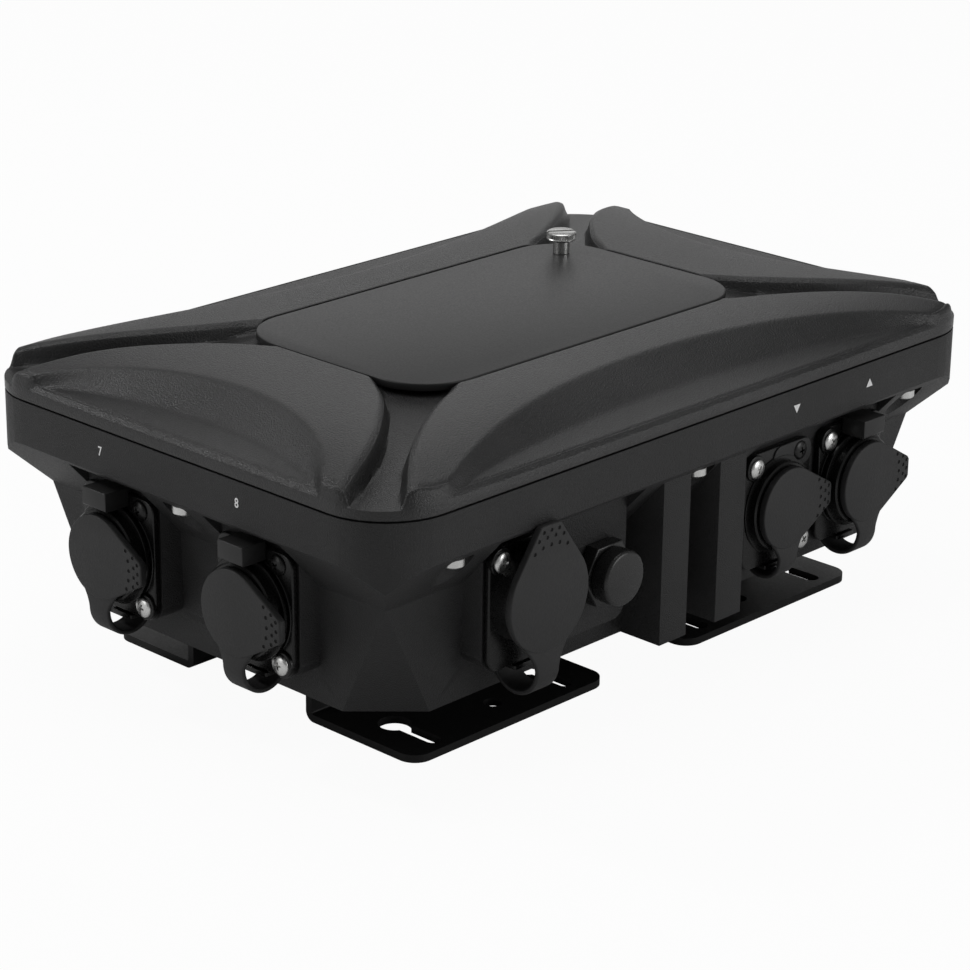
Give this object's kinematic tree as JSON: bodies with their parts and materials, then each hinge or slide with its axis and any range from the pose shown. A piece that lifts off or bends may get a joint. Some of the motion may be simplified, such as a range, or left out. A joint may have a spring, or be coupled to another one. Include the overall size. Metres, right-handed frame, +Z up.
{
  "type": "dmx splitter",
  "caption": "Weatherproof stage-lighting data splitter: black cast box with capped round connectors, scalloped lid, cover plate and two foot brackets.",
  "frame": {"origin": "centre of the footprint, on the surface that the brackets stand on", "axes": "+Z up, +X along the long side, -Y towards the side with the mains inlet and the input"},
  "size_m": [0.2268, 0.1498, 0.0886],
  "materials": {
    "cast": "fine black powder coat on a casting",
    "sheet": "satin black powder coat on sheet",
    "plastic": "moulded black, slightly glossy",
    "rubber": "matt black rubber",
    "steel": "bright plated steel",
    "glass": "clear",
    "board": "green solder mask"
  },
  "bodies": {
    "root": {"base_housing": "cast", "lid": "cast", "bracket_left": "sheet", "bracket_right": "sheet", "output_socket_1": "plastic", "output_socket_2": "plastic", "output_socket_3": "plastic", "output_socket_4": "plastic", "output_socket_5": "plastic", "output_socket_6": "plastic", "output_socket_7": "plastic", "output_socket_8": "plastic", "through_socket": "plastic", "input_plug": "plastic", "power_inlet": "plastic", "fuse_holder": "plastic", "fuse_nut": "plastic", "power_supply": "plastic", "lid_seal": "rubber", "cover_seal": "rubber", "lid_screw_1": "steel", "lid_screw_2": "steel", "lid_screw_3": "steel", "lid_screw_4": "steel", "lid_screw_5": "steel", "lid_screw_6": "steel", "lid_screw_7": "steel", "lid_screw_8": "steel", "bracket_screw_1": "steel", "bracket_screw_2": "steel", "bracket_screw_3": "steel", "bracket_screw_4": "steel", "fuse": "glass", "main_board": "board", "switch_board": "board"},
    "output_cap_1": {"output_cap_1": "rubber"},
    "output_latch_1": {"output_latch_1": "plastic"},
    "output_cap_2": {"output_cap_2": "rubber"},
    "output_latch_2": {"output_latch_2": "plastic"},
    "output_cap_3": {"output_cap_3": "rubber"},
    "output_latch_3": {"output_latch_3": "plastic"},
    "output_cap_4": {"output_cap_4": "rubber"},
    "output_latch_4": {"output_latch_4": "plastic"},
    "output_cap_5": {"output_cap_5": "rubber"},
    "output_latch_5": {"output_latch_5": "plastic"},
    "output_cap_6": {"output_cap_6": "rubber"},
    "output_latch_6": {"output_latch_6": "plastic"},
    "output_cap_7": {"output_cap_7": "rubber"},
    "output_latch_7": {"output_latch_7": "plastic"},
    "output_cap_8": {"output_cap_8": "rubber"},
    "output_latch_8": {"output_latch_8": "plastic"},
    "through_cap": {"through_cap": "rubber"},
    "through_latch": {"through_latch": "plastic"},
    "input_cap": {"input_cap": "rubber"},
    "power_cap": {"power_cap": "rubber"},
    "fuse_cap": {"fuse_cap": "plastic"},
    "cover": {"cover_plate": "cast"},
    "thumb": {"thumb_screw": "steel"}
  },
  "joints": [
    {"name": "output_cap_1_flip", "type": "hinge", "parent": "root", "child": "output_cap_1", "pos_m": [0.1056, -0.02425, 0.0177], "axis": [0, 1, 0], "range_deg": [0, 95]},
    {"name": "output_latch_1_press", "type": "slide", "parent": "root", "child": "output_latch_1", "axis": [-1, 0, 0], "range_m": [0, 0.0015], "stiffness_N_per_m": 400},
    {"name": "output_cap_2_flip", "type": "hinge", "parent": "root", "child": "output_cap_2", "pos_m": [0.1056, 0.02425, 0.0177], "axis": [0, 1, 0], "range_deg": [0, 95]},
    {"name": "output_latch_2_press", "type": "slide", "parent": "root", "child": "output_latch_2", "axis": [-1, 0, 0], "range_m": [0, 0.0015], "stiffness_N_per_m": 400},
    {"name": "output_cap_3_flip", "type": "hinge", "parent": "root", "child": "output_cap_3", "pos_m": [0.0627, 0.0671, 0.0177], "axis": [-1, 0, 0], "range_deg": [0, 95]},
    {"name": "output_latch_3_press", "type": "slide", "parent": "root", "child": "output_latch_3", "axis": [0, -1, 0], "range_m": [0, 0.0015], "stiffness_N_per_m": 400},
    {"name": "output_cap_4_flip", "type": "hinge", "parent": "root", "child": "output_cap_4", "pos_m": [0.0329, 0.0671, 0.0177], "axis": [-1, 0, 0], "range_deg": [0, 95]},
    {"name": "output_latch_4_press", "type": "slide", "parent": "root", "child": "output_latch_4", "axis": [0, -1, 0], "range_m": [0, 0.0015], "stiffness_N_per_m": 400},
    {"name": "output_cap_5_flip", "type": "hinge", "parent": "root", "child": "output_cap_5", "pos_m": [-0.0329, 0.0671, 0.0177], "axis": [-1, 0, 0], "range_deg": [0, 95]},
    {"name": "output_latch_5_press", "type": "slide", "parent": "root", "child": "output_latch_5", "axis": [0, -1, 0], "range_m": [0, 0.0015], "stiffness_N_per_m": 400},
    {"name": "output_cap_6_flip", "type": "hinge", "parent": "root", "child": "output_cap_6", "pos_m": [-0.0627, 0.0671, 0.0177], "axis": [-1, 0, 0], "range_deg": [0, 95]},
    {"name": "output_latch_6_press", "type": "slide", "parent": "root", "child": "output_latch_6", "axis": [0, -1, 0], "range_m": [0, 0.0015], "stiffness_N_per_m": 400},
    {"name": "output_cap_7_flip", "type": "hinge", "parent": "root", "child": "output_cap_7", "pos_m": [-0.1056, 0.02425, 0.0177], "axis": [0, -1, 0], "range_deg": [0, 95]},
    {"name": "output_latch_7_press", "type": "slide", "parent": "root", "child": "output_latch_7", "axis": [1, 0, 0], "range_m": [0, 0.0015], "stiffness_N_per_m": 400},
    {"name": "output_cap_8_flip", "type": "hinge", "parent": "root", "child": "output_cap_8", "pos_m": [-0.1056, -0.02425, 0.0177], "axis": [0, -1, 0], "range_deg": [0, 95]},
    {"name": "output_latch_8_press", "type": "slide", "parent": "root", "child": "output_latch_8", "axis": [1, 0, 0], "range_m": [0, 0.0015], "stiffness_N_per_m": 400},
    {"name": "through_cap_flip", "type": "hinge", "parent": "root", "child": "through_cap", "pos_m": [0.0627, -0.0671, 0.0177], "axis": [1, 0, 0], "range_deg": [0, 95]},
    {"name": "through_latch_press", "type": "slide", "parent": "root", "child": "through_latch", "axis": [0, 1, 0], "range_m": [0, 0.0015], "stiffness_N_per_m": 400},
    {"name": "input_cap_flip", "type": "hinge", "parent": "root", "child": "input_cap", "pos_m": [0.0329, -0.0659, 0.0189], "axis": [1, 0, 0], "range_deg": [0, 95]},
    {"name": "power_cap_flip", "type": "hinge", "parent": "root", "child": "power_cap", "pos_m": [-0.0595, -0.0671, 0.0164], "axis": [1, 0, 0], "range_deg": [0, 95]},
    {"name": "fuse_cap_turn", "type": "hinge", "parent": "root", "child": "fuse_cap", "pos_m": [-0.0329, -0.0745, 0.039], "axis": [0, -1, 0], "range_deg": [0, 90]},
    {"name": "cover_tip", "type": "hinge", "parent": "root", "child": "cover", "pos_m": [-0.0603, 0, 0.08245], "axis": [0, -1, 0], "range_deg": [0, 75]},
    {"name": "thumb_screw_turn", "type": "hinge", "parent": "cover", "child": "thumb", "pos_m": [0.0497, 0.0231, 0.08245], "axis": [0, 0, 1], "continuous": true}
  ]
}
